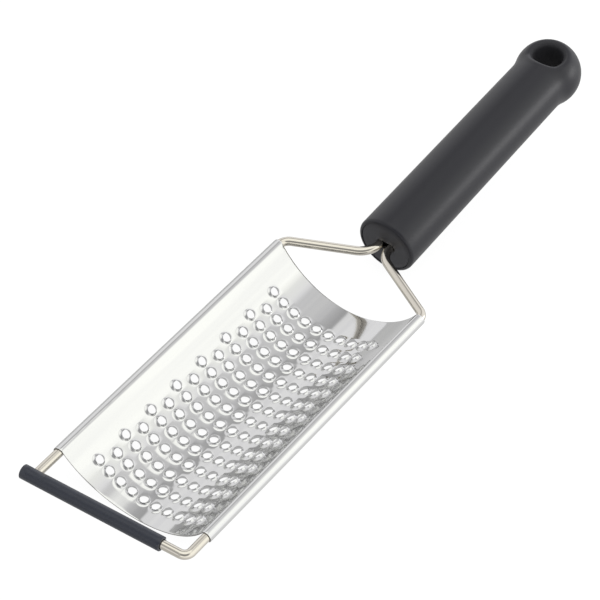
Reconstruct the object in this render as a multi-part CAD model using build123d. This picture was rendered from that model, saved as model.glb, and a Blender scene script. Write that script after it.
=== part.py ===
from build123d import *
import math
import os

os.makedirs("parts", exist_ok=True)

# The part is a hand rasp: a curved sheet of raised cutting holes hung between the
# two legs of one bent wire, a slim sleeve on the wire's front bar, and a round
# handle with a ball end. It is first laid out with X across the blade, Y from the
# blade's front edge to the handle and Z up, the wire's centre line at zero height.
# Lengths are in millimetres and angles in degrees.

# The wire frame. Its two legs run parallel. Its arms, from each leg's shoulder to
# the tail in the handle, are bent a little differently on the two sides.
wire_diameter = 3.8
wire_spacing = 70.0
right_leg_reach = 9.9
left_leg_reach = 14.4
front_bend_radius = 3.2
right_shoulder_reach = 2.3
left_shoulder_reach = 2.7
right_shoulder_radius = 4.6
left_shoulder_radius = 5.3
right_fork_gap = 2.6
left_fork_gap = 3.4
right_fork_radius = 8.0
left_fork_radius = 10.9
tail_gap = 0.8
tail_stand_out = 11.8

# The blade: a thin sheet, curved down between the wires and rolled over them. Its
# ends bow in, and its front is cut a little askew.
blade_length = 139.9
sheet_thickness = 0.5
trough_depth = 16.2
roll_clearance = 0.05
roll_lip_angle = -70.0
back_bow = 1.2
front_bow = 1.8
front_skew = 1.6

# The cutting holes: raised collars in staggered rows, as many as the margins leave room for.
row_pitch = 7.93
hole_pitch = 5.97
first_row_inset = 11.4
back_margin = 14.0
side_margin = 11.5
collar_height = 1.2
collar_mouth_diameter = 3.6
collar_root_diameter = 4.9
collar_wall = 0.25

# The sleeve on the front bar, slit behind so that it slips over the wire.
sleeve_diameter = 6.0
sleeve_length = 64.0
sleeve_inset = 11.0
sleeve_clearance = 0.1
sleeve_slit = 1.2

# The handle, tilted up from the blade about a pivot behind the blade, a little right of the middle.
pivot_reach = 22.2
handle_side_shift = 0.5
handle_tilt = 4.2
handle_stand_off = 2.6
handle_front_diameter = 26.8
handle_neck_diameter = 25.7
handle_rim_radius = 1.5
ball_diameter = 29.1
ball_distance = 120.9
neck_fillet_radius = 18.0
hang_hole_diameter = 13.0
hang_hole_lip = 2.2
core_diameter = 18.4
core_depth = 98.0

# The plug that closes the handle's front and holds the wire's tails.
plug_seat_wall = 1.65
plug_length = 20.0
plug_clearance = 0.05
plug_recess = 0.2
tail_clearance = 0.05

# Every cut runs past the surface it opens by this much.
overrun = 1.0

wire_radius = wire_diameter / 2
half_spacing = wire_spacing / 2
roll_radius = wire_radius + roll_clearance + sheet_thickness / 2
tail_offset = (wire_diameter + tail_gap) / 2
tail_length = plug_recess + plug_length + tail_stand_out
plug_seat_radius = handle_front_diameter / 2 - plug_seat_wall

# The trough's middle surface is the arc that runs smoothly into both rolls.
trough_radius = ((half_spacing ** 2 + trough_depth ** 2 - roll_radius ** 2)
                 / (2 * (roll_radius + trough_depth)))
trough_centre = trough_radius - trough_depth

# The angle at which the roll's axis is seen above the trough's centre line, and the room for holes.
trough_rise = math.degrees(math.atan2(trough_centre, half_spacing))
half_arc = trough_radius * math.radians(90 - trough_rise)
row_count = 1 + int((blade_length - first_row_inset - back_margin) / row_pitch)
holes_in_long_row = 1 + int(2 * (half_arc - side_margin) / hole_pitch)


def on_circle(centre, radius, degrees):
    """A point at an angle on a circle in the plane across the blade."""
    angle = math.radians(degrees)
    return (centre[0] + radius * math.cos(angle), 0, centre[1] + radius * math.sin(angle))


def blade_section():
    """Outline of the sheet across the blade: lip, roll, trough, roll and lip."""
    left, right, axis = (-half_spacing, 0), (half_spacing, 0), (0, trough_centre)
    lip = 180 - roll_lip_angle
    crest = (lip + trough_rise) / 2
    outline = []
    for side in (1, -1):
        roll = roll_radius + side * sheet_thickness / 2
        trough = trough_radius - side * sheet_thickness / 2
        outline.append(ThreePointArc(on_circle(left, roll, lip),
                                     on_circle(left, roll, crest),
                                     on_circle(left, roll, trough_rise)))
        outline.append(ThreePointArc(on_circle(axis, trough, 180 + trough_rise),
                                     on_circle(axis, trough, 270),
                                     on_circle(axis, trough, -trough_rise)))
        outline.append(ThreePointArc(on_circle(right, roll, 180 - trough_rise),
                                     on_circle(right, roll, 180 - crest),
                                     on_circle(right, roll, 180 - lip)))
    outline.append(Line(outline[0] @ 0, outline[3] @ 0))
    outline.append(Line(outline[2] @ 1, outline[5] @ 1))
    return Face(Wire(outline))


def end_cutter(end, skew, bow, side):
    """A block beyond one end of the blade, with the bowed end as its face."""
    half = half_spacing + roll_radius + sheet_thickness
    far = end - side * (trough_depth + overrun)
    start, middle, finish = (-half, end), (0, end + skew / 2 + side * bow), (half, end + skew)
    edges = [ThreePointArc(start, middle, finish), Line(finish, (half, far)),
             Line((half, far), (-half, far)), Line((-half, far), start)]
    return extrude(Face(Wire(edges)), trough_depth * 2, both=True)


def hole_places():
    """Frames of the holes, on the middle of the sheet: X across the blade, Z up out of the trough."""
    frames = []
    for row in range(row_count):
        y = first_row_inset + row * row_pitch
        count = holes_in_long_row - row % 2
        for column in range(count):
            angle = hole_pitch * (column - (count - 1) / 2) / trough_radius
            point = (trough_radius * math.sin(angle), y, trough_centre - trough_radius * math.cos(angle))
            out = (-math.sin(angle), 0, math.cos(angle))
            across = (-math.cos(angle), 0, -math.sin(angle))
            frames.append(Plane(origin=point, x_dir=across, z_dir=out))
    return frames


def make_blade():
    """The curved sheet with its rolled sides and raised cutting holes."""
    sheet = extrude(Pos(0, -overrun, 0) * blade_section(), blade_length + overrun * 2, dir=(0, 1, 0))
    sheet -= end_cutter(0, front_skew, front_bow, 1)
    sheet -= end_cutter(blade_length, 0, back_bow, -1)
    reach = collar_height + sheet_thickness / 2
    root, mouth = collar_root_diameter / 2, collar_mouth_diameter / 2
    collar = Pos(0, 0, reach / 2) * Cone(root, mouth + collar_wall, reach)
    slope = (root - mouth - collar_wall) / reach
    below = sheet_thickness / 2 + overrun
    drill_height = reach + below + overrun
    drill = Pos(0, 0, drill_height / 2 - below) * Cone(
        mouth + slope * (reach + below), mouth - slope * overrun, drill_height)
    frames = hole_places()
    raised = sheet.solid().fuse(*[(frame * collar).solid() for frame in frames])
    return raised.cut(*[(frame * drill).solid() for frame in frames])


pivot = Vector(handle_side_shift, blade_length + pivot_reach, 0)
handle_axis = Vector(0, math.cos(math.radians(handle_tilt)), math.sin(math.radians(handle_tilt)))
handle_front = pivot + handle_axis * handle_stand_off
handle_frame = Plane(origin=handle_front, x_dir=(1, 0, 0), z_dir=handle_axis)
right_corner = Vector(half_spacing, -right_leg_reach, 0)
left_corner = Vector(-half_spacing, -left_leg_reach, 0)


def make_wire():
    """The bent wire, from one tail in the handle round the front bar to the other."""
    across = Vector(tail_offset, 0, 0)
    right_fork = pivot - handle_axis * right_fork_gap + across
    left_fork = pivot - handle_axis * left_fork_gap - across
    points = [handle_front + handle_axis * tail_length + across,
              right_fork,
              Vector(half_spacing, blade_length + right_shoulder_reach, 0),
              right_corner,
              left_corner,
              Vector(-half_spacing, blade_length + left_shoulder_reach, 0),
              left_fork,
              handle_front + handle_axis * tail_length - across]
    radii = [right_fork_radius, right_shoulder_radius, front_bend_radius,
             front_bend_radius, left_shoulder_radius, left_fork_radius]
    path = FilletPolyline(*points, radius=radii)
    start = Plane(origin=points[0], z_dir=points[1] - points[0])
    return sweep(start * Circle(wire_radius), path=path)


def make_sleeve():
    """The slit sleeve on the front bar, shifted over the left corner of the wire."""
    along = (left_corner - right_corner).normalized()
    frame = Plane(origin=right_corner + along * sleeve_inset, x_dir=(0, 0, 1), z_dir=along)
    bore = wire_radius + sleeve_clearance
    sleeve = Cylinder(sleeve_diameter / 2, sleeve_length)
    sleeve -= Cylinder(bore, sleeve_length + overrun)
    sleeve -= Pos(0, sleeve_diameter / 2, 0) * Box(sleeve_slit, sleeve_diameter, sleeve_length + overrun)
    leg_width = wire_diameter + sleeve_clearance * 2
    leg_place = (left_corner - right_corner).length - sleeve_inset - sleeve_length / 2
    notch = Pos(0, sleeve_diameter / 2, leg_place - front_bend_radius / 2) * Box(
        leg_width, sleeve_diameter, leg_width + front_bend_radius)
    sleeve = Pos(0, 0, sleeve_length / 2) * (sleeve - notch)
    return frame * sleeve


def make_handle():
    """The hollow round handle with its ball end and hanging hole."""
    front, neck = handle_front_diameter / 2, handle_neck_diameter / 2
    ball = ball_diameter / 2
    body = Pos(0, 0, ball_distance / 2) * Cone(front, neck, ball_distance)
    body += Pos(0, 0, ball_distance) * Sphere(ball)
    rim = body.edges().filter_by(GeomType.CIRCLE).sort_by(Axis.Z)[0]
    body = fillet(rim, handle_rim_radius)
    seam = body.edges().filter_by(GeomType.CIRCLE)
    seam = seam.filter_by_position(Axis.Z, ball_distance - ball, ball_distance)
    body = fillet(seam, neck_fillet_radius)
    hang_hole = Rot(90, 0, 0) * Cylinder(hang_hole_diameter / 2, ball_diameter + overrun)
    body -= Pos(0, 0, ball_distance) * hang_hole
    reach = hang_hole_diameter / 2 + overrun
    lips = body.edges().filter_by_position(Axis.Z, ball_distance - reach, ball_distance + reach)
    lips = [edge for edge in lips if abs(edge.center().X) < reach and edge.geom_type != GeomType.LINE]
    body = fillet(lips, hang_hole_lip)
    seat_depth = plug_recess + plug_length
    body -= Pos(0, 0, (seat_depth - overrun) / 2) * Cylinder(plug_seat_radius, seat_depth + overrun)
    return handle_frame * (body - Pos(0, 0, core_depth / 2) * Cylinder(core_diameter / 2, core_depth))


def make_plug():
    """The plug in the handle's front, slotted for the two tails of the wire."""
    plug = Cylinder(plug_seat_radius - plug_clearance, plug_length)
    plug = Pos(0, 0, plug_recess + plug_length / 2) * plug
    slot = SlotCenterToCenter(tail_offset * 2, wire_diameter + tail_clearance * 2)
    return handle_frame * (plug - extrude(slot, plug_recess + plug_length + overrun))


def stood_on_its_middle(nodes):
    """The nodes moved so that the origin is under the middle of the whole part."""
    box = Compound(children=[Compound(shape.solids()) for shape in nodes.values()]).bounding_box()
    middle = box.center()
    shift = Pos(-middle.X, -middle.Y, -box.min.Z)
    return {name: shift * shape for name, shape in nodes.items()}


if __name__ == "__main__":
    nodes = {"grater_blade": make_blade(),
             "wire_frame": make_wire(),
             "foot_sleeve": make_sleeve(),
             "handle_body": make_handle(),
             "handle_plug": make_plug()}
    for name, shape in stood_on_its_middle(nodes).items():
        export_step(shape, "parts/" + name + ".step")
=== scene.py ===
# %% [markdown]
# # A rasp zester
#
# This lesson dresses a finished CAD model of a rasp zester: a curved steel sheet punched
# with raised cutting holes, hung between the legs of one bent wire, with a rubber sleeve on
# the front bar and a round plastic handle. The CAD model fixes every size. Each step below
# makes one piece as a smooth surface over the CAD solid, and gives it the finish of the
# real material. Lengths in the code are millimetres until a piece is stored in metres.

# %% Load the frame
import math

import bmesh
import bpy
import mathutils
import numpy as np
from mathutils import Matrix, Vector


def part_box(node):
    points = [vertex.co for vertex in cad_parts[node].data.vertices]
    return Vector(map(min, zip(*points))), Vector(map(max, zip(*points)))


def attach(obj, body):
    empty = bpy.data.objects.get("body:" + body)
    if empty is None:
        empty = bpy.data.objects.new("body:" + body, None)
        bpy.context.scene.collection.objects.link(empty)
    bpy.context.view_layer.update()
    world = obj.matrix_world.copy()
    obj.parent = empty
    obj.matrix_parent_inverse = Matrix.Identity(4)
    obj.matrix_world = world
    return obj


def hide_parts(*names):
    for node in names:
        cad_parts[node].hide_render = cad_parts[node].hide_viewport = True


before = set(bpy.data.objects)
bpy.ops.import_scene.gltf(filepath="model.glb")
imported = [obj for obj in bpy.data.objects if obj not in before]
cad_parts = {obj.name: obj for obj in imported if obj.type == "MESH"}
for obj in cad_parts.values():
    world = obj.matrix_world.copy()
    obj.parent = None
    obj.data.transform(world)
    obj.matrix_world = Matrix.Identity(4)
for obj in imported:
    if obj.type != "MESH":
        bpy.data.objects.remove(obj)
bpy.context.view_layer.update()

# %% [markdown]
# ## The layout
#
# The CAD model is laid out with its origin between the two wire legs at the blade's front
# edge, and then moved so that the origin is under its middle. One offset turns layout
# coordinates into the frame's. A CAD box gives a test of it.

# %% Sizes shared by all the pieces
TO_FRAME = np.array((1.292, -141.0565, 16.45))
WIRE_RADIUS = 1.9
HALF_SPACING = 35.0
BLADE_LENGTH = 139.9
HANDLE_TILT = math.radians(4.2)
HANDLE_AXIS = np.array((0.0, math.cos(HANDLE_TILT), math.sin(HANDLE_TILT)))
HANDLE_UP = np.array((0.0, -math.sin(HANDLE_TILT), math.cos(HANDLE_TILT)))
# Where the wire's two arms meet: a little right of the middle, and behind the blade.
PIVOT_RIGHT, PIVOT_BEHIND, FRONT_PAST_PIVOT = 0.5, 22.2, 2.6
PIVOT = np.array((PIVOT_RIGHT, BLADE_LENGTH + PIVOT_BEHIND, 0.0))
HANDLE_FRONT = PIVOT + HANDLE_AXIS * FRONT_PAST_PIVOT
# The lattice of cutting holes: short rows of one hole fewer lie between the long rows.
ROW_PITCH, HOLE_PITCH, FIRST_ROW, ROWS, IN_LONG_ROW = 7.93, 5.97, 11.4, 15, 10
BLADE_CORNER = np.array((-37.45, 0.03, -16.45))

low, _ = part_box("grater_blade")
print("blade's lowest corner, CAD:", [round(c, 5) for c in low])
print("the same from the layout:  ", [round(c / 1000, 5) for c in BLADE_CORNER + TO_FRAME])

# %% [markdown]
# ## From arrays to a mesh
#
# Every piece is one or more grids of points, worked out as whole arrays. A grid's faces join
# each point to its neighbours. Grids that share an edge have equal points there, so merging
# doubles sews them together, and the normals are then turned outwards. Edges sharper than an
# angle are kept crisp, and all the others are shaded smooth.

# %% Mesh helpers
SAME_POINT = 2e-6


def grid_faces(rows, columns, start=0):
    """Quads of a grid: a point, its right neighbour, the one diagonally across, the one above."""
    index = np.arange(rows * columns).reshape(rows, columns) + start
    corners = (index[:-1, :-1], index[:-1, 1:], index[1:, 1:], index[1:, :-1])
    return np.stack(corners, axis=-1).reshape(-1, 4)


def piece_from_grids(name, grids, node, materials, crisp=40.0, marks=None):
    """Sew grids of layout points, each an array (rows, columns, 3), into one closed piece.

    A grid's mark is the number of its material, and grids without marks take the first.
    """
    points = np.concatenate([g.reshape(-1, 3) for g in grids])
    starts = np.cumsum([0] + [g.shape[0] * g.shape[1] for g in grids[:-1]])
    faces = np.concatenate([grid_faces(*g.shape[:2], s) for g, s in zip(grids, starts)])
    mesh = bpy.data.meshes.new(name)
    mesh.from_pydata((points + TO_FRAME) / 1000, [], faces.tolist())
    for material in materials:
        mesh.materials.append(material)
    counts = [(g.shape[0] - 1) * (g.shape[1] - 1) for g in grids]
    mesh.polygons.foreach_set("material_index", np.repeat(marks or [0] * len(grids), counts))
    work = bmesh.new()
    work.from_mesh(mesh)
    bmesh.ops.remove_doubles(work, verts=work.verts, dist=SAME_POINT)
    bmesh.ops.recalc_face_normals(work, faces=work.faces)
    open_edges = sum(1 for edge in work.edges if len(edge.link_faces) != 2)
    volume = work.calc_volume(signed=True)
    work.to_mesh(mesh)
    work.free()
    mesh.polygons.foreach_set("use_smooth", np.ones(len(mesh.polygons), dtype=bool))
    mesh.set_sharp_from_angle(angle=math.radians(crisp))
    piece = bpy.data.objects.new(name, mesh)
    bpy.context.scene.collection.objects.link(piece)
    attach(piece, "root")
    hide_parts(node)
    print(name, "faces", len(mesh.polygons), "open edges", open_edges,
          "volume in cc", round(volume * 1e6, 2))
    return piece


# %% [markdown]
# ## Node helpers
#
# A colour is picked on screen as an sRGB hex value, but shaders work with linear light. One
# function turns one into the other, and one small function adds a node with its settings
# and links. The short functions after it call it for the nodes that every material needs.

# %% Colour and node helpers
def linear(hex_colour):
    """sRGB to linear: under 0.04045 a channel is divided by 12.92, above it follows a 2.4 power."""
    channels = [int(hex_colour[i:i + 2], 16) / 255 for i in (1, 3, 5)]
    curve = [c / 12.92 if c <= 0.04045 else ((c + 0.055) / 1.055) ** 2.4 for c in channels]
    return (*curve, 1.0)


def add_node(tree, kind, settings=None, inputs=None):
    """Add a node, set its properties, and set or link each named or numbered input."""
    node = tree.nodes.new(kind)
    for key, value in (settings or {}).items():
        setattr(node, key, value)
    for key, value in (inputs or {}).items():
        socket = node.inputs[key]
        if isinstance(value, bpy.types.NodeSocket):
            tree.links.new(value, socket)
        else:
            socket.default_value = value
    return node


def noise(tree, place, scale, detail):
    """Noise over a place in metres."""
    return add_node(tree, "ShaderNodeTexNoise", inputs={
        "Vector": place, "Scale": scale, "Detail": detail}).outputs[0]


def stretched_noise(tree, place, scales, detail):
    """Noise with a scale of its own along each axis."""
    stretched = add_node(tree, "ShaderNodeMapping", inputs={"Vector": place, "Scale": scales})
    return noise(tree, stretched.outputs[0], 1.0, detail)


def spread(tree, value, source=(0.0, 1.0), target=(0.0, 1.0), curve="LINEAR"):
    """A value's range moved to another one."""
    return add_node(tree, "ShaderNodeMapRange", {"interpolation_type": curve}, {
        "Value": value, "From Min": source[0], "From Max": source[1],
        "To Min": target[0], "To Max": target[1]}).outputs[0]


def arithmetic(tree, operation, *values, clamp=False):
    """One step of arithmetic."""
    settings = {"operation": operation, "use_clamp": clamp}
    return add_node(tree, "ShaderNodeMath", settings, dict(enumerate(values))).outputs[0]


def mixed(tree, share, first, second):
    """A colour between two colours."""
    return add_node(tree, "ShaderNodeMix", {"data_type": "RGBA"}, {
        0: share, 6: first, 7: second}).outputs[2]


def bumped(tree, height, strength, distance, **normal):
    """The normal turned by the slope of a height, from the plain normal or the one given."""
    return add_node(tree, "ShaderNodeBump", inputs={
        "Height": height, "Strength": strength, "Distance": distance, **normal}).outputs[0]


def new_material(name):
    """An empty material: itself, its node tree, and every point's place on the object in metres."""
    material = bpy.data.materials.new(name)
    material.use_nodes = True
    tree = material.node_tree
    tree.nodes.clear()
    return material, tree, add_node(tree, "ShaderNodeTexCoord").outputs["Object"]


def finish(tree, kind, inputs):
    """The last shader of a material, and the output that it goes to."""
    shader = add_node(tree, kind, inputs=inputs)
    add_node(tree, "ShaderNodeOutputMaterial", inputs={"Surface": shader.outputs[0]})


# %% [markdown]
# ## Stainless steel sheet, cold rolled and polished
#
# The blade is stainless sheet of half a millimetre. Cold rolling leaves it almost mirror
# bright, with very fine lines along the strip. Its plain margins mirror the room clearly, but
# punching the holes pulls the field between them out of true, so reflections there are broken
# up. Noise stretched along the blade gives the rolled lines, and a soft bump of a few
# millimetres, only in the punched field, gives the waves. The cut edges of the sheet and the
# drawn skin of its craters have finishes of their own.

# %% Sheet steel
# Metres from the middle where the sheet begins to go flat, and how fast its height then falls.
FLAT_FROM, FLAT_CURVE = 0.0265, 12.0


def punched_field(tree, along):
    """One inside the punched field, going to nothing over 6 mm past its first and last rows."""
    shares = []
    for row, way in ((0, -0.001), (ROWS - 1, 0.001)):
        edge = (TO_FRAME[1] + FIRST_ROW + row * ROW_PITCH) / 1000
        shares.append(spread(tree, along, (edge + 7 * way, edge + way), curve="SMOOTHSTEP"))
    return arithmetic(tree, "MULTIPLY", *shares)


def flattened(tree, across):
    """Rolling the sides draws the trough's margins flat: a height falling as the square."""
    side = arithmetic(tree, "ABSOLUTE", arithmetic(tree, "SUBTRACT", across, TO_FRAME[0] / 1000))
    past = arithmetic(tree, "SUBTRACT", side, FLAT_FROM, clamp=True)
    fall = arithmetic(tree, "MULTIPLY", arithmetic(tree, "POWER", past, 2.0), -FLAT_CURVE)
    return bumped(tree, fall, 1.0, 1.0)


def make_sheet_steel():
    """Metal whose roughness follows rolled lines and whose normal follows slow waves.

    To the eye: almost a mirror at the margins, broken up between the holes.
    """
    material, tree, place = new_material("stainless_sheet_cold_rolled")
    across, along, _ = add_node(tree, "ShaderNodeSeparateXYZ", inputs={0: place}).outputs
    # Lines 0.4 mm apart and some 40 mm long. Real ones are finer, too fine to show here.
    lines = stretched_noise(tree, place, (2500.0, 25.0, 2500.0), 2.0)
    # Waves about 9 mm across, where punching has pulled the sheet.
    waves = noise(tree, place, 110.0, 1.0)
    smudge = spread(tree, noise(tree, place, 45.0, 4.0), (0.3, 0.7), (0.03, 0.07))
    rough = arithmetic(tree, "MULTIPLY_ADD", lines, 0.04, smudge)
    wavy = bumped(tree, waves, punched_field(tree, along), 0.00013, Normal=flattened(tree, across))
    normal = bumped(tree, lines, 0.25, 0.000004, Normal=wavy)
    # Slow bands 3 to 8 mm wide along the strip, from the rolling, change its shade a little.
    bands = spread(tree, stretched_noise(tree, place, (330.0, 9.0, 120.0), 1.0), (0.35, 0.65))
    colour = mixed(tree, bands, linear("#c5c5c5"), linear("#cbcbca"))
    finish(tree, "ShaderNodeBsdfPrincipled", {
        "Base Color": colour, "Metallic": 1.0, "Roughness": rough, "Normal": normal})
    return material


def make_sheared_edge():
    """The cut edge of the sheet: torn metal, rough across its half millimetre.

    To the eye: a dark line round the blade.
    """
    material, tree, place = new_material("stainless_sheet_sheared_edge")
    # Tear marks 0.25 mm apart.
    tears = noise(tree, place, 4000.0, 2.0)
    finish(tree, "ShaderNodeBsdfPrincipled", {
        "Base Color": linear("#8d8b88"), "Metallic": 1.0, "Roughness": 0.5,
        "Normal": bumped(tree, tears, 0.6, 0.00004)})
    return material


def make_drawn_steel():
    """The skin of the craters: drawing stretches it, so its grain stands up.

    To the eye: a softer mirror than the flat sheet's.
    """
    material, tree, place = new_material("stainless_sheet_drawn_skin")
    # The stretched skin's dimples are 0.5 mm across.
    dimples = noise(tree, place, 2000.0, 2.0)
    finish(tree, "ShaderNodeBsdfPrincipled", {
        "Base Color": linear("#c9c9c9"), "Metallic": 1.0,
        "Roughness": spread(tree, dimples, (0.3, 0.7), (0.18, 0.3)),
        "Normal": bumped(tree, dimples, 0.4, 0.00001)})
    return material


sheet_steel, sheared_edge, drawn_steel = make_sheet_steel(), make_sheared_edge(), make_drawn_steel()
print("made", sheet_steel.name, sheared_edge.name, "and", drawn_steel.name)

# %% [markdown]
# ## Stainless steel wire, drawn and polished
#
# Round wire is pulled through a die and then tumbled bright. It reflects as a narrow mirror:
# one bright stripe along its top and dark edges below, a little warmer than the sheet.

# %% Wire steel
def make_wire_steel():
    """Bright metal with faint handling marks, some 3 mm across, in its roughness."""
    material, tree, place = new_material("stainless_wire_drawn_polished")
    marks = noise(tree, place, 350.0, 5.0)
    finish(tree, "ShaderNodeBsdfPrincipled", {
        "Base Color": linear("#c5c0b6"), "Metallic": 1.0,
        "Roughness": spread(tree, marks, (0.35, 0.7), (0.07, 0.15)),
        "Normal": bumped(tree, marks, 0.3, 0.00002)})
    return material


wire_steel = make_wire_steel()
print("made", wire_steel.name)

# %% [markdown]
# ## Black rubber tube, extruded
#
# The sleeve on the front bar is soft black tube. Extruding draws faint lines along it, and
# its skin has a dull, slightly bluish sheen.

# %% Sleeve rubber
def make_rubber():
    """Dark dielectric with fine lines along X, where the tube was drawn out."""
    material, tree, place = new_material("black_rubber_extruded")
    # Lines 0.3 mm apart round the tube and 10 mm long, under specks of about a millimetre.
    lines = stretched_noise(tree, place, (100.0, 3300.0, 3300.0), 3.0)
    dust = noise(tree, place, 900.0, 3.0)
    finish(tree, "ShaderNodeBsdfPrincipled", {
        "Base Color": mixed(tree, dust, linear("#1f222b"), linear("#262a35")),
        "Roughness": spread(tree, dust, target=(0.26, 0.42)), "IOR": 1.42,
        "Normal": bumped(tree, lines, 0.5, 0.00003)})
    return material


black_rubber = make_rubber()
print("made", black_rubber.name)

# %% [markdown]
# ## Dark grey polypropylene, moulded with a fine grain
#
# The handle comes out of a mould whose walls were lightly eroded, so its skin has a fine
# grain that spreads the highlight into a broad soft band. The real grain is under 0.1 mm.
# It is drawn at 0.35 mm here, so that it shows.

# %% Handle plastic
def make_handle_plastic(name, body, grain_depth, roughness):
    """Dark dielectric, its grain in both the bump and the roughness, with slow changes of shade."""
    material, tree, place = new_material(name)
    grain, cloud = noise(tree, place, 2800.0, 2.0), noise(tree, place, 60.0, 3.0)
    finish(tree, "ShaderNodeBsdfPrincipled", {
        "Base Color": mixed(tree, cloud, linear(body[0]), linear(body[1])),
        "Roughness": spread(tree, grain, (0.3, 0.7), roughness), "IOR": 1.42,
        "Normal": bumped(tree, grain, 0.5, grain_depth)})
    return material


handle_plastic = make_handle_plastic(
    "polypropylene_moulded_fine_grain", ("#0f0f16", "#12121a"), 0.00002, (0.33, 0.41))
plug_plastic = make_handle_plastic(
    "polypropylene_moulded_plug", ("#1e1e24", "#232329"), 0.00003, (0.36, 0.46))
bore_plastic = make_handle_plastic(
    "polypropylene_moulded_bore", ("#1b1b1f", "#202024"), 0.00004, (0.6, 0.8))
print("made", handle_plastic.name, plug_plastic.name, "and", bore_plastic.name)

# %% [markdown]
# ## The blade
#
# On the real tool the blade starts as a flat strip. A press punches the holes and draws a
# small crater up round each, the strip is bent into a trough, and its long sides are rolled
# over the wires. So the natural coordinates are those of the flat strip: a is the distance
# across it, y the distance along it, and h the height over its middle surface. One function
# bends all three into place. The craters could also be cut with booleans, but rings of
# points worked out in the strip give an even, smooth mesh.

# %% The bent strip
SHEET_HALF, ROLL_GAP, TROUGH_DEPTH = 0.25, 0.05, 16.2
ROLL_RADIUS = WIRE_RADIUS + ROLL_GAP + SHEET_HALF
TROUGH_RADIUS = ((HALF_SPACING ** 2 + TROUGH_DEPTH ** 2 - ROLL_RADIUS ** 2)
                 / (2 * (ROLL_RADIUS + TROUGH_DEPTH)))
TROUGH_CENTRE = TROUGH_RADIUS - TROUGH_DEPTH
RISE = math.atan2(TROUGH_CENTRE, HALF_SPACING)
HALF_ARC = TROUGH_RADIUS * (math.pi / 2 - RISE)
LIP_BELOW = math.radians(70)
ROLL_TURN = math.pi - RISE + LIP_BELOW
HALF_STRIP = HALF_ARC + ROLL_RADIUS * ROLL_TURN
print("trough radius", round(TROUGH_RADIUS, 2), "strip width", round(HALF_STRIP * 2, 1))


def bent(a, y, h):
    """Bend the strip: an arc about the trough's axis, then a tighter one about the wire's."""
    side, across = np.sign(a), np.abs(a)
    angle = np.minimum(across, HALF_ARC) / TROUGH_RADIUS
    trough_x = (TROUGH_RADIUS - h) * np.sin(angle)
    trough_z = TROUGH_CENTRE - (TROUGH_RADIUS - h) * np.cos(angle)
    turn = math.pi - RISE - np.maximum(across - HALF_ARC, 0) / ROLL_RADIUS
    roll_x = HALF_SPACING + (ROLL_RADIUS + h) * np.cos(turn)
    roll_z = (ROLL_RADIUS + h) * np.sin(turn)
    in_roll = across > HALF_ARC
    x = side * np.where(in_roll, roll_x, trough_x)
    z = np.where(in_roll, roll_z, trough_z)
    return np.stack(np.broadcast_arrays(x, y, z), axis=-1)


# %% [markdown]
# ## One cutting hole
#
# A crater is a small trumpet. Its outside is a piece of an ellipse turned about the hole,
# level at the foot and steep at the rim, and its inside is the same a little further in. The
# back of each stands higher than its front, which makes the cutting lip. The torn rim of the
# real hole cuts the food: here every other point of the rim stands up a hair.

# %% Rings of a crater
FOOT, RIM_OUT, RIM_IN, INNER_FOOT = 2.92, 1.87, 1.78, 2.7
# The arc's end angle at the rim, how much higher the back is, and how far forward the foot is.
CRATER_HEIGHT, FLARE, LEAN, FOOT_FORWARD = 0.76, 0.8, 0.7, 0.55
# How far a tooth stands up, and its shares at the rim's outer edge, crest and inner edge.
TOOTH, TOOTH_OUT, TOOTH_CREST, TOOTH_IN = 0.006, 0.6, 1.0, 0.8
# Heights of the rim's crest, its inner edge and the inner wall's top, over the crater's own.
CREST, INNER_EDGE, INNER_TOP = 0.05, -0.03, 0.1
SIDE_STEPS, OUTER_RINGS, INNER_RINGS = 8, 7, 5
# Rows of faces that belong to the flat skin, round the foot and under it.
SKIRT_ROWS, UNDER_ROWS = 3, 2


def flare_arc(t):
    """A piece of an ellipse by its angle: the shares of the way in to the rim and of the rise."""
    return np.sin(t) / math.sin(FLARE), (1 - np.cos(t)) / (1 - math.cos(FLARE))


def crater_rings():
    """Rings from the flat of the strip over the rim and down inside: radii, faces, rises, teeth."""
    inward, rise = flare_arc(np.linspace(0, FLARE, OUTER_RINGS))
    inner_inward, inner_rise = flare_arc(np.linspace(FLARE, 0, INNER_RINGS + 1)[1:])
    radius = (FOOT - (FOOT - RIM_OUT) * inward, ((RIM_OUT + RIM_IN) / 2, RIM_IN),
              INNER_FOOT - (INNER_FOOT - RIM_IN) * inner_inward)
    height = (CRATER_HEIGHT * rise, (CRATER_HEIGHT + CREST, CRATER_HEIGHT + INNER_EDGE),
              (CRATER_HEIGHT + INNER_TOP) * inner_rise)
    tooth = ((rise > 0.99) * TOOTH_OUT, (TOOTH_CREST, TOOTH_IN), inner_rise * 0)
    face = np.repeat((SHEET_HALF, -SHEET_HALF), (OUTER_RINGS + 2, INNER_RINGS))
    return np.concatenate(radius), face, np.concatenate(height), np.concatenate(tooth)


def cell_border():
    """Points round a hole's rectangular cell, from its far right corner, anticlockwise."""
    step = np.arange(SIDE_STEPS) / SIDE_STEPS * 2 - 1
    one = np.ones(SIDE_STEPS)
    a = np.concatenate((-step, -one, step, one)) * HOLE_PITCH / 2
    y = np.concatenate((one, -step, -one, step)) * ROW_PITCH / 2
    return a, y


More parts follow.
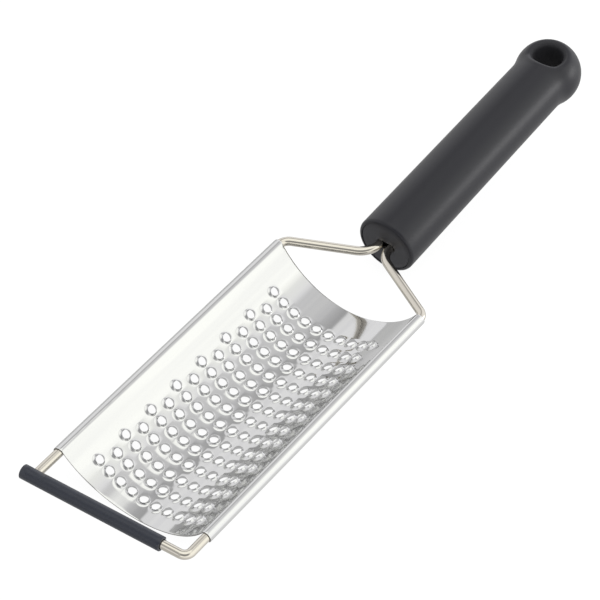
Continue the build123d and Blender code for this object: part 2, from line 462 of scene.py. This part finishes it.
def crater_grids():
    """All the craters, each as rings from its cell's border, over the rim, to the border below.

    A crater's rise grows from its front to its back with the sine of the direction, and its
    rings sit further forward the wider they are.
    """
    ring_radius, ring_face, ring_rise, ring_tooth = crater_rings()
    border_a, border_y = cell_border()
    around = np.arange(4 * SIDE_STEPS)
    angle = math.pi / 4 + around * 2 * math.pi / (4 * SIDE_STEPS)
    stand = np.where(around % 2 == 0, TOOTH, -TOOTH)
    a = np.vstack((border_a, ring_radius[:, None] * np.cos(angle), border_a))
    forward = FOOT_FORWARD * np.clip((ring_radius - RIM_OUT) / (FOOT - RIM_OUT), 0, 1)
    y = np.vstack((border_y, ring_radius[:, None] * np.sin(angle) - forward[:, None], border_y))
    raised = ring_rise[:, None] * (1 + LEAN * (1 + np.sin(angle)) / 2)
    raised = raised + ring_tooth[:, None] * stand
    h = np.vstack((np.full(len(around), SHEET_HALF), ring_face[:, None] + raised,
                   np.full(len(around), -SHEET_HALF)))
    a, y, h = (np.hstack((v, v[:, :1])) for v in (a, y, h))
    grids = []
    for row in range(ROWS):
        count = IN_LONG_ROW - row % 2
        centres = (np.arange(count) - (count - 1) / 2) * HOLE_PITCH
        grids.extend(bent(centres[:, None, None] + a, FIRST_ROW + row * ROW_PITCH + y, h[None]))
    return grids


whole = crater_grids()
skirts = [g[:SKIRT_ROWS + 1] for g in whole] + [g[-UNDER_ROWS - 1:] for g in whole]
crater_walls = [g[SKIRT_ROWS:-UNDER_ROWS] for g in whole]
print("craters", len(whole), "points in each", whole[0].shape[0] * whole[0].shape[1])

# %% [markdown]
# ## The rest of the strip
#
# Between the craters' field and the edges the strip is plain. Its ends are bowed inwards and
# the front end is cut a little askew, so those rows of points follow the ends. Both faces of
# the strip are grids, and narrow grids close its edges.

# %% Plain parts and edges
FIELD = HOLE_PITCH * IN_LONG_ROW / 2
FIELD_START = FIRST_ROW - ROW_PITCH / 2
FIELD_END = FIELD_START + ROWS * ROW_PITCH
BACK_BOW, FRONT_BOW, FRONT_SKEW = 1.2, 1.8, 1.6
# Shearing draws the upper face down over the last half millimetre.
ROLL_OVER, ROLL_OVER_DROP, ROLL_OVER_ROWS = 0.5, 0.09, 5
MARGIN_COLUMNS, ROLL_COLUMNS, END_ROWS = 12, 33, 8


def blade_ends(a):
    """The front end, a slope from left to right plus a parabola's bow, and the back end's bow."""
    share = bent(a, 0, 0)[..., 0] / (HALF_SPACING + ROLL_RADIUS + SHEET_HALF)
    front = FRONT_SKEW * (1 + share) / 2 + FRONT_BOW * (1 - share ** 2)
    return front, BLADE_LENGTH - BACK_BOW * (1 - share ** 2)


def both_faces(a, y):
    """The upper and lower face of a patch of strip."""
    return [bent(a, y, SHEET_HALF), bent(a, y, -SHEET_HALF)]


def edge_strip(a, y):
    """The narrow face along an edge, between the two faces."""
    return np.stack((bent(a, y, SHEET_HALF), bent(a, y, -SHEET_HALF)))


def rolled_over(a, end, inward):
    """A sheared end: the upper face falls by a parabola towards it."""
    share = np.linspace(0, 1, ROLL_OVER_ROWS)[:, None]
    y = end + inward * ROLL_OVER * (1 - share)
    return [bent(a, y, SHEET_HALF - ROLL_OVER_DROP * share ** 2), bent(a, y, -SHEET_HALF)]


side_columns = np.concatenate((np.linspace(FIELD, HALF_ARC, MARGIN_COLUMNS)[:-1],
                               np.linspace(HALF_ARC, HALF_STRIP, ROLL_COLUMNS)))
field_columns = np.linspace(-FIELD, FIELD, IN_LONG_ROW * SIDE_STEPS + 1)
columns = np.concatenate((-side_columns[::-1], field_columns[1:-1], side_columns))
field_rows = np.linspace(FIELD_START, FIELD_END, ROWS * SIDE_STEPS + 1)

share = np.linspace(0, 1, END_ROWS)[:, None]
front_end, back_end = blade_ends(columns)
front_y = (front_end + ROLL_OVER) * (1 - share) + FIELD_START * share
back_y = FIELD_END * (1 - share) + (back_end - ROLL_OVER) * share
plain = both_faces(columns[None], front_y) + both_faces(columns[None], back_y)
plain += rolled_over(columns, front_end, 1) + rolled_over(columns, back_end, -1)
edges = []
for flip in (-1, 1):
    plain += both_faces(flip * side_columns[None], field_rows[:, None])
    gap = np.linspace(FIELD - HOLE_PITCH / 2, FIELD, SIDE_STEPS // 2 + 1)
    for start in range(SIDE_STEPS, ROWS * SIDE_STEPS, 2 * SIDE_STEPS):
        plain += both_faces(flip * gap[None], field_rows[start:start + SIDE_STEPS + 1, None])
    end = -1 if flip > 0 else 0
    lip_y = np.concatenate((front_y[:-1, end], field_rows, back_y[1:, end]))
    edges.append(edge_strip(np.full(len(lip_y), flip * HALF_STRIP), lip_y))
    for y, inward in ((front_end[end], 1), (back_end[end], -1)):
        lip = rolled_over(np.array([flip * HALF_STRIP]), y, inward)
        edges.append(np.stack([face[:, 0] for face in lip]))
for end, inward in ((front_end, 1), (back_end, -1)):
    edges.append(np.stack([face[-1] for face in rolled_over(columns, end, inward)]))

blade = piece_from_grids(
    "blade_sheet", skirts + plain + edges + crater_walls, "grater_blade",
    (sheet_steel, sheared_edge, drawn_steel), crisp=50,
    marks=[0] * len(skirts + plain) + [1] * len(edges) + [2] * len(crater_walls))

# %% [markdown]
# ## The wire frame
#
# One length of wire is bent into the whole frame. A tube along a path needs a centre line
# and a circle carried along it. The line has straight runs and round bends, and as it never
# points up, the upright direction gives the circle's two axes at every point.

# %% A round tube along rounded corners
ARC_POINTS, RUN_STEP, TUBE_SIDES = 17, 4.0, 40


def rounded_line(corners, radii):
    """Straight runs joined by arcs.

    An arc touches both runs, at its radius times the tangent of half the turn from the corner.
    """
    points = [corners[0]]
    for before, corner, after, radius in zip(corners[:-2], corners[1:-1], corners[2:], radii):
        into = (corner - before) / np.linalg.norm(corner - before)
        out = (after - corner) / np.linalg.norm(after - corner)
        turn = math.acos(np.clip(into @ out, -1, 1))
        reach = radius * math.tan(turn / 2)
        inward = (out - into) / np.linalg.norm(out - into)
        centre = corner + inward * (radius / math.cos(turn / 2))
        start = corner - into * reach - centre
        end = corner + out * reach - centre
        t = np.linspace(0, 1, ARC_POINTS)[:, None]
        arc = (start * np.sin((1 - t) * turn) + end * np.sin(t * turn)) / math.sin(turn)
        points.extend(centre + arc)
    points.append(corners[-1])
    points = np.array(points)
    runs = []
    for a, b in zip(points[:-1], points[1:]):
        pieces = max(1, int(np.linalg.norm(b - a) / RUN_STEP))
        runs.append(a + (b - a) * (np.arange(pieces) / pieces)[:, None])
    return np.concatenate(runs + [points[-1:]])


def tube(line, radius):
    """Circles square to a line: crossing it with upright gives one axis, and again the other."""
    along = np.gradient(line, axis=0)
    along /= np.linalg.norm(along, axis=1, keepdims=True)
    across = np.cross(along, (0, 0, 1))
    across /= np.linalg.norm(across, axis=1, keepdims=True)
    upward = np.cross(across, along)
    angle = np.linspace(0, 2 * math.pi, TUBE_SIDES + 1)[None, :, None]
    spokes = radius * (across[:, None] * np.cos(angle) + upward[:, None] * np.sin(angle))
    share = np.array((1.0, 0.6, 0.0))[:, None, None]
    end_caps = [line[at] + share * spokes[at][None] for at in (0, -1)]
    return [line[:, None] + spokes] + end_caps


# %% The bent wire
# From the right tail round the frame to the left one. The right and left bends differ a
# little, and the front bar is askew, as in the picture.
TAIL_OFFSET, TAIL_LENGTH = 2.3, 32.0
JOIN_RIGHT, JOIN_LEFT = 2.6, 3.4
BEHIND_RIGHT, BEHIND_LEFT = 2.3, 2.7
FRONT_RIGHT, FRONT_LEFT = -9.9, -14.4
BEND_RADII = (8.0, 4.6, 3.2, 3.2, 5.3, 10.9)
tail = HANDLE_FRONT + HANDLE_AXIS * TAIL_LENGTH
sideways = np.array((TAIL_OFFSET, 0, 0))
right_corner = np.array((HALF_SPACING, FRONT_RIGHT, 0))
left_corner = np.array((-HALF_SPACING, FRONT_LEFT, 0))
wire_corners = [tail + sideways, PIVOT - HANDLE_AXIS * JOIN_RIGHT + sideways,
                np.array((HALF_SPACING, BLADE_LENGTH + BEHIND_RIGHT, 0)), right_corner,
                left_corner, np.array((-HALF_SPACING, BLADE_LENGTH + BEHIND_LEFT, 0)),
                PIVOT - HANDLE_AXIS * JOIN_LEFT - sideways, tail - sideways]
wire_line = rounded_line(wire_corners, BEND_RADII)
wire = piece_from_grids("wire_bent", tube(wire_line, WIRE_RADIUS), "wire_frame",
                        [wire_steel])

# %% [markdown]
# ## The foot sleeve
#
# The sleeve is a tube slit along its back, so that it can be slipped over the bent wire. Its
# section is a C, and where it passes the left leg the slit opens to let the leg through. At
# both ends the rim is eased a little, as a cut rubber tube is.

# %% A slit tube
SLEEVE_OUT, SLEEVE_IN, SLEEVE_LENGTH, SLEEVE_INSET = 3.0, 2.0, 64.0, 11.0
# Half the slit's width, and how much and how far the ends' rims are eased.
HALF_SLIT, END_EASE, END_REACH = 0.6, 0.12, 0.15
# The opening over the leg: half its width round the tube and along it, its edge, its shift.
WIDE_SLIT, HALF_OPENING, OPENING_EDGE, OPENING_SHIFT = 2.0, 3.6, 0.05, 1.6
SLIT_IN_LIMIT, ROUND_POINTS, FIRST_RING, SLEEVE_RINGS = 0.98, 49, 2.0, 24


def slit_arc(radius, opening, share):
    """An arc round a circle from one side of an opening, at angle 0, to its other side."""
    angle = opening + (2 * math.pi - 2 * opening) * share
    return np.stack((radius * np.cos(angle), radius * np.sin(angle)), -1)


def slit_section(half_slit, ease):
    """A C: round the outside from one lip to the other, and back round the inside."""
    share = np.linspace(0, 1, ROUND_POINTS)
    outside = slit_arc(SLEEVE_OUT - ease, math.asin(half_slit / SLEEVE_OUT), share)
    narrowed = math.asin(min(half_slit / SLEEVE_IN, SLIT_IN_LIMIT))
    return np.vstack((outside, slit_arc(SLEEVE_IN + ease, narrowed, share[::-1]), outside[:1]))


def sleeve_grids():
    """The section carried along the front bar, its slit widened over the leg, and closed ends."""
    bar = np.linalg.norm(left_corner - right_corner)
    along = (left_corner - right_corner) / bar
    back = np.cross(along, (0, 0, 1))
    back /= np.linalg.norm(back)
    leg = bar - SLEEVE_INSET - OPENING_SHIFT
    open_start, open_end = leg - HALF_OPENING, leg + HALF_OPENING
    before = np.linspace(FIRST_RING, open_start - OPENING_EDGE, SLEEVE_RINGS)
    stations = [(0.0, HALF_SLIT, END_EASE), (END_REACH, HALF_SLIT, 0.0)]
    stations += [(s, HALF_SLIT, 0.0) for s in before]
    stations += [(open_start, WIDE_SLIT, 0.0), (open_end, WIDE_SLIT, 0.0)]
    stations += [(open_end + OPENING_EDGE, HALF_SLIT, 0.0)]
    stations += [(SLEEVE_LENGTH - END_REACH, HALF_SLIT, 0.0), (SLEEVE_LENGTH, HALF_SLIT, END_EASE)]
    rings = []
    for distance, half_slit, ease in stations:
        section = slit_section(half_slit, ease)
        rings.append(right_corner + along * (SLEEVE_INSET + distance)
                     + section[:, :1] * back + section[:, 1:] * np.array((0, 0, 1)))
    skin = np.array(rings)
    ends = (skin[0], skin[-1])
    return [skin] + [np.stack((e[:ROUND_POINTS], e[ROUND_POINTS:-1][::-1])) for e in ends]


sleeve = piece_from_grids("sleeve_rubber", sleeve_grids(), "foot_sleeve",
                          [black_rubber])

# %% [markdown]
# ## The handle
#
# The handle is turned in shape: a long cone that runs through a smooth neck into a ball. The
# hanging hole goes through the ball with rounded lips. A profile turned about the axis gives
# nearly all of it. Round each mouth of the hole the turned grid leaves a window, and rings
# fill the window: first along the ball, then over the lip, then down the wall of the hole,
# whose lower rings have the finish of the bore.

# %% The turned profile
FRONT_RADIUS, NECK_RADIUS, BALL_RADIUS, BALL_AT = 13.4, 12.85, 14.55, 120.9
RIM_RADIUS, NECK_FILLET, SEAT_RADIUS, SEAT_DEPTH = 1.5, 18.0, 11.75, 20.2
HOLE_RADIUS, HOLE_LIP, WINDOW_FRONT, WINDOW_BACK = 6.5, 2.2, 10.4, 12.2
# The seat for the plug: its mouth widens by the first over a length of the second.
MOUTH_WIDER, MOUTH_DEEP = 0.12, 0.25
TURNS, WINDOW_TURNS = 64, 10
RIM_ROWS, CONE_ROWS, NECK_ROWS, CROWN_ROWS = 9, 24, 4, 10
SKIN_RINGS, LIP_RINGS, WALL_RINGS, BORE_FROM = 7, 13, 7, 6
neck_reach = math.sqrt((BALL_RADIUS + NECK_FILLET) ** 2 - (NECK_RADIUS + NECK_FILLET) ** 2)
fillet_start = BALL_AT - neck_reach
fillet_end = BALL_AT - neck_reach * BALL_RADIUS / (BALL_RADIUS + NECK_FILLET)


def circle_height(radius, reach):
    """How high a circle stands over its diameter at a distance from its centre."""
    return np.sqrt(np.maximum(radius ** 2 - reach ** 2, 0))


def outer_radius(s):
    """The handle's radius at a distance along it: a rim arc, a cone, a hollow neck and the ball."""
    cone = FRONT_RADIUS + (NECK_RADIUS - FRONT_RADIUS) * s / BALL_AT
    rim = cone - RIM_RADIUS + circle_height(RIM_RADIUS, np.maximum(RIM_RADIUS - s, 0))
    neck = NECK_RADIUS + NECK_FILLET - circle_height(NECK_FILLET, s - fillet_start)
    neck = neck + (cone - NECK_RADIUS) * (fillet_end - s) / (fillet_end - fillet_start)
    ball = circle_height(BALL_RADIUS, s - BALL_AT)
    parts = (s < RIM_RADIUS, s < fillet_start, s < fillet_end)
    return np.select(parts, (rim, cone, neck), ball)


def inset_radius(s):
    """The radius and slope of the skin moved inwards by the lip's radius.

    They are given at a distance from the ball's centre. No circle is used past a share of its
    radius, beyond which its slope runs away.
    """
    inner_ball, wide_neck, share = BALL_RADIUS - HOLE_LIP, NECK_FILLET + HOLE_LIP, 0.9
    from_neck = s + neck_reach
    in_neck = s < -neck_reach * inner_ball / (BALL_RADIUS + NECK_FILLET)
    neck = circle_height(wide_neck, np.clip(from_neck, 0, wide_neck * share))
    ball = circle_height(inner_ball, np.clip(s, -inner_ball * share, inner_ball * share))
    radius = np.where(in_neck, NECK_RADIUS + NECK_FILLET - neck, ball)
    return radius, np.where(in_neck, np.maximum(from_neck, 0) / neck, -s / ball)


def handle_point(x, s, up):
    """A place in the handle's own directions, turned into the layout."""
    x, s, up = (np.asarray(v)[..., None] for v in np.broadcast_arrays(x, s, up))
    return HANDLE_FRONT + x * np.array((1.0, 0, 0)) + s * HANDLE_AXIS + up * HANDLE_UP


def turned(s, radius, angles):
    """Points at a radius about the axis, their angles counted from straight up."""
    return handle_point(radius * np.sin(angles), s, radius * np.cos(angles))


# %% Body grids and the hole's windows
def handle_grids():
    """The turned skin before, beside and beyond the windows, the seat, and the hole's rings."""
    angles = np.linspace(0, 2 * math.pi, TURNS + 1)[None]
    rim = RIM_RADIUS * (1 - np.cos(np.linspace(0, math.pi / 2, RIM_ROWS)))
    window_rows = np.linspace(BALL_AT - WINDOW_FRONT, BALL_AT + WINDOW_BACK, 2 * WINDOW_TURNS + 1)
    body = np.concatenate((rim, np.linspace(RIM_RADIUS, fillet_start, CONE_ROWS)[1:],
                           np.linspace(fillet_start, window_rows[0], NECK_ROWS)[1:]))
    window_end = math.asin(WINDOW_BACK / BALL_RADIUS)
    beyond = BALL_AT + BALL_RADIUS * np.sin(np.linspace(window_end, math.pi / 2, CROWN_ROWS))
    beyond[0] = window_rows[-1]
    grids = [turned(s[:, None], outer_radius(s)[:, None], angles) for s in (body, beyond)]
    seat = np.array(((SEAT_DEPTH, 0.0), (SEAT_DEPTH, SEAT_RADIUS * 0.6), (SEAT_DEPTH, SEAT_RADIUS),
                     (MOUTH_DEEP, SEAT_RADIUS), (0.0, SEAT_RADIUS + MOUTH_WIDER),
                     (0.0, FRONT_RADIUS - RIM_RADIUS)))
    grids.append(turned(seat[:, :1], seat[:, 1:], angles))
    step = 2 * math.pi / TURNS
    for first, last in ((WINDOW_TURNS, TURNS // 2 - WINDOW_TURNS),
                        (TURNS // 2 + WINDOW_TURNS, TURNS - WINDOW_TURNS)):
        side = (np.arange(first, last + 1) * step)[None]
        grids.append(turned(window_rows[:, None], outer_radius(window_rows)[:, None], side))
    for sign in (1, -1):
        grids += hole_rings(window_rows, step, sign)
    return grids


def hole_rings(rows, step, sign):
    """Rings from a window's border along the skin to the lip, over the lip, and down to the middle.

    A ball of the lip's radius rolls round inside the corner between skin and hole. Its centre
    keeps the lip's radius from the hole's wall and lies on the inset skin. The lip is the arc
    between the directions in which the ball touches the wall and the skin.
    """
    turn = np.arange(-WINDOW_TURNS, WINDOW_TURNS + 1) * step
    ones = np.ones(len(rows) - 1)
    border_s = np.concatenate((rows[-1] * ones, rows[::-1][:-1], rows[0] * ones, rows[:-1]))
    border_s = border_s - BALL_AT
    border_turn = np.concatenate((turn[::-1][:-1], turn[0] * ones, turn[:-1], turn[-1] * ones))
    border_x = outer_radius(border_s + BALL_AT) * np.sin(border_turn)
    angle = math.pi / 4 + np.arange(len(border_s)) * 2 * math.pi / len(border_s)
    outward = np.stack((np.cos(angle), np.sin(angle), 0 * angle), -1)
    centre = outward * (HOLE_RADIUS + HOLE_LIP)
    radius, slope = inset_radius(centre[:, 1])
    centre[:, 2] = np.sqrt(radius ** 2 - centre[:, 0] ** 2)
    normal = np.stack((centre[:, 0] / radius, -slope, centre[:, 2] / radius), -1)
    normal /= np.sqrt(1 + slope ** 2)[:, None]
    between = np.arccos(np.clip(-(outward * normal).sum(-1), -1, 1))[None, :, None]
    share = np.linspace(1, 0, LIP_RINGS)[:, None, None]
    arc = normal * np.sin(share * between) - outward * np.sin((1 - share) * between)
    lip = centre + HOLE_LIP * arc / np.sin(between)
    share = np.linspace(0, 1, SKIN_RINGS)[:-1, None]
    x = border_x * (1 - share) + lip[0, :, 0] * share
    s = border_s * (1 - share) + lip[0, :, 1] * share
    skin = np.stack((x, s, circle_height(outer_radius(s + BALL_AT), x)), -1)
    wall = np.repeat(lip[-1:], WALL_RINGS - 1, axis=0)
    wall[..., 2] *= np.linspace(1, 0, WALL_RINGS)[1:, None]
    rings = np.concatenate((skin, lip, wall))
    rings = np.concatenate((rings, rings[:, :1]), axis=1)
    rings = handle_point(rings[..., 0], rings[..., 1] + BALL_AT, sign * rings[..., 2])
    into_bore = len(skin) + BORE_FROM
    return [rings[:into_bore + 1], rings[into_bore:]]


# The last four grids are the hole's upper skin and bore and its lower skin and bore.
body_grids = handle_grids()
handle = piece_from_grids(
    "handle_moulding", body_grids, "handle_body",
    [handle_plastic, bore_plastic], marks=[0] * (len(body_grids) - 4) + [0, 1, 0, 1])

# %% [markdown]
# ## The plug
#
# The plug closes the handle's front. The two tails of the wire go in side by side through
# one slot. Rings run from the slot's rim out to the plug's edge, over a small chamfer and
# back along its side.

# %% A slotted plug
PLUG_RADIUS, PLUG_LENGTH, PLUG_RECESS, SLOT_RADIUS = 11.7, 20.0, 0.2, 1.95
# The eased edges: their depth, the depths halfway at the rim and at the slot, and how much
# wider the slot is halfway and at the face.
EASE, RIM_EASE, SLOT_EASE, HALF_WIDER, WIDER = 0.3, 0.08, 0.06, 1.06, 1.12


def plug_grids():
    """Rings between a stadium and a circle: the slot's wall, the face, the side and the back."""
    angle = np.linspace(0, 2 * math.pi, TURNS + 1)
    circle = np.stack((np.cos(angle), np.sin(angle)), -1)
    # A steep wave held between its limits moves the circle's halves apart into a stadium.
    reach = TAIL_OFFSET * np.clip(np.cos(angle) * 3.0, -1, 1)
    stadium = SLOT_RADIUS * circle + np.stack((reach, 0 * reach), -1)
    rings = [(stadium, PLUG_LENGTH), (stadium, EASE), (stadium * HALF_WIDER, SLOT_EASE)]
    for part in (0.0, 0.25, 0.5, 0.75, 1.0):
        face = stadium * WIDER * (1 - part) + circle * (PLUG_RADIUS - EASE) * part
        rings.append((face, 0.0))
    rings += [(circle * (PLUG_RADIUS - RIM_EASE), RIM_EASE), (circle * PLUG_RADIUS, EASE),
              (circle * PLUG_RADIUS, PLUG_LENGTH), (stadium, PLUG_LENGTH)]
    return [np.stack([handle_point(ring[:, 0], PLUG_RECESS + depth, ring[:, 1])
                      for ring, depth in rings])]


plug = piece_from_grids("plug_moulding", plug_grids(), "handle_plug",
                        [plug_plastic])

# %% [markdown]
# ## The floor
#
# The tool lies on a plain white floor. Seen by the camera, or mirrored in the steel, the
# floor is nearly its own light, as a lit studio sweep is, and a share of plain diffuse white
# keeps the tool's soft shadow. The steel mirrors more light from the floor's window side.

# %% Floor
OWN_LIGHT, CAMERA_LEVEL = 0.87, 1.06
# The mirrored level rises between these two places across the floor, in metres.
MIRROR_PLACES, MIRROR_LEVELS = (0.02, 0.12), (0.7, 1.6)
FLOOR_HALF, FLOOR_BELOW = 6.0, 0.0002


def make_floor():
    """A wide square just under the lowest point, part diffuse and part its own light."""
    material, tree, place = new_material("studio_floor_paper")
    rays = add_node(tree, "ShaderNodeLightPath").outputs
    mirrored = arithmetic(tree, "MAXIMUM", rays["Is Glossy Ray"], rays["Is Transmission Ray"])
    seen = arithmetic(tree, "MAXIMUM", rays["Is Camera Ray"], mirrored)
    across = add_node(tree, "ShaderNodeSeparateXYZ", inputs={0: place}).outputs[0]
    window_side = spread(tree, across, MIRROR_PLACES, MIRROR_LEVELS)
    paper = add_node(tree, "ShaderNodeBsdfDiffuse", inputs={"Color": (0.85, 0.85, 0.85, 1)})
    level = spread(tree, mirrored, target=(CAMERA_LEVEL, window_side))
    lit = add_node(tree, "ShaderNodeEmission", inputs={"Color": (1, 1, 1, 1), "Strength": level})
    finish(tree, "ShaderNodeMixShader", {
        0: arithmetic(tree, "MULTIPLY", seen, OWN_LIGHT), 1: paper.outputs[0], 2: lit.outputs[0]})
    corners = [(x * FLOOR_HALF, y * FLOOR_HALF, -FLOOR_BELOW)
               for x, y in ((-1, -1), (1, -1), (1, 1), (-1, 1))]
    mesh = bpy.data.meshes.new("floor")
    mesh.from_pydata(corners, [], [(0, 1, 2, 3)])
    mesh.materials.append(material)
    floor = bpy.data.objects.new("floor", mesh)
    bpy.context.scene.collection.objects.link(floor)
    return floor


floor = make_floor()
print("made", floor.name, "of", floor.active_material.name)

# %% [markdown]
# ## The studio
#
# Polished steel shows the room more than its own colour, so the room is part of the finish.
# The room is written as a world of long light panels that run parallel to the tool, as in a
# product tent: going over from the left horizon to the right one there are a light wall, a
# shaded strip, an even ceiling and then a bright window. The tent has a darker opening high
# up in front, its wall past the handle is bright, and one lamp box shines straight down from
# its top.

# %% World of long panels
# Degrees over the tool, from straight up towards +X, and the brightness there.
PANELS = ((-180, 1.0), (-92, 1.0), (-50, 1.0), (-34, 0.92), (-32, 0.46), (-24, 0.54),
          (-12, 0.73), (18, 0.80), (23, 1.02), (36, 1.16), (46, 1.41), (84, 1.41),
          (95, 1.1), (180, 1.0))
WARM, COOL, WARM_ABOVE = (0.99, 0.997, 0.962), (0.992, 0.99, 1.0), 1.1
ROOM_LEVEL = 1.18
# The opening, the bright wall past the handle and the top light: their brightness, and the
# parts of the direction between which each fades in.
OPENING_AT, OPENING, OPENING_FADE = (0.41, -0.55, 0.73), 0.36, (0.76, 0.93)
FAR_END, FAR_FADE = 1.15, (0.62, 0.80)
TOP_LIGHT, TOP_FADE = 1.35, (0.86, 0.90)


def panel_ramp(tree, axes):
    """The panels' colours over the angle across the tool."""
    x, _, z = axes
    share = spread(tree, arithmetic(tree, "ARCTAN2", x, z), (-math.pi, math.pi))
    panels = add_node(tree, "ShaderNodeValToRGB", inputs={0: share})
    stops = panels.color_ramp.elements
    while len(stops) < len(PANELS):
        stops.new(0.5)
    for stop, (degrees, bright) in zip(stops, PANELS):
        stop.position = (degrees + 180) / 360
        tint = WARM if bright > WARM_ABOVE else COOL
        stop.color = (*(bright * c for c in tint), 1.0)
    return panels.outputs[0]


def make_world():
    """The panels, with the opening, the far end and the top light laid over them by direction."""
    world = bpy.data.worlds.new("studio_room")
    bpy.context.scene.world = world
    world.use_nodes = True
    tree = world.node_tree
    tree.nodes.clear()
    way = add_node(tree, "ShaderNodeTexCoord").outputs["Generated"]
    axes = add_node(tree, "ShaderNodeSeparateXYZ", inputs={0: way}).outputs
    towards = add_node(tree, "ShaderNodeVectorMath", {"operation": "DOT_PRODUCT"}, {
        0: way, 1: OPENING_AT}).outputs["Value"]
    colour = panel_ramp(tree, axes)
    for value, fade, shade in (
            (towards, OPENING_FADE, (OPENING, OPENING, OPENING * 1.02, 1)),
            (axes[1], FAR_FADE, (FAR_END, FAR_END, FAR_END * 1.02, 1)),
            (axes[2], TOP_FADE, (*(TOP_LIGHT * c for c in WARM), 1.0))):
        colour = mixed(tree, spread(tree, value, fade, curve="SMOOTHSTEP"), colour, shade)
    seen = add_node(tree, "ShaderNodeLightPath").outputs["Is Camera Ray"]
    room, white = (add_node(tree, "ShaderNodeBackground", inputs={
        "Color": shade, "Strength": level}).outputs[0]
        for shade, level in ((colour, ROOM_LEVEL), ((1, 1, 1, 1), 1.0)))
    mix = add_node(tree, "ShaderNodeMixShader", inputs={0: seen, 1: room, 2: white})
    add_node(tree, "ShaderNodeOutputWorld", inputs={"Surface": mix.outputs[0]})
    return world


make_world()
print("world with", len(PANELS), "stops over the tool")


# %% Lamp
def soft_lamp(name, place, aim, size, power, mirrored=False):
    """An area lamp of a width and a height, turned from its place towards a point."""
    lamp = bpy.data.lights.new(name, "AREA")
    lamp.shape, lamp.energy = "RECTANGLE", power
    lamp.size, lamp.size_y = size
    item = bpy.data.objects.new(name, lamp)
    direction = mathutils.Vector(aim) - mathutils.Vector(place)
    item.rotation_mode = "QUATERNION"
    item.rotation_quaternion = direction.to_track_quat("-Z", "Y")
    item.location = place
    item.visible_glossy = mirrored
    bpy.context.scene.collection.objects.link(item)
    return item


soft_lamp("soft_key", (0.9, 0.1, 0.9), (0, 0.05, 0), (0.6, 0.6), 3.5)
# A low strip beside the handle gives its long soft highlight. The blade mirrors none of it.
soft_lamp("handle_strip", (0.34, 0.37, 0.05), (0.0, 0.12, 0.01), (0.22, 0.12), 0.28,
          mirrored=True)
print("lamps: a soft key and a strip beside the handle")

# %% [markdown]
# ## The camera
#
# The camera stands well back in front, to the right and above, with a long lens. Its place
# and turn come from fitting the known sizes of the tool to the picture, so the tool lands in
# the frame as it is there.

# %% Camera
CAMERA_AT = (0.42757782, -0.61336525, 0.79137262)
RIGHT = (0.80245626, 0.59669302, 0.00462609)
DOWN = (0.43550022, -0.58034274, -0.68814378)
FORWARD = (-0.40792587, 0.55421995, -0.7255596)
camera_data = bpy.data.cameras.new("camera")
camera_data.sensor_width = 36.0
camera_data.lens = 159.73
camera_data.clip_end = 50.0
camera = bpy.data.objects.new("camera", camera_data)
turn = mathutils.Matrix([[RIGHT[i], -DOWN[i], -FORWARD[i]] for i in range(3)])
camera.matrix_world = mathutils.Matrix.Translation(CAMERA_AT) @ turn.to_4x4()
bpy.context.scene.collection.objects.link(camera)
bpy.context.scene.camera = camera
bpy.context.scene.view_settings.view_transform = "Standard"
print("camera at", CAMERA_AT, "with a lens of", camera_data.lens)
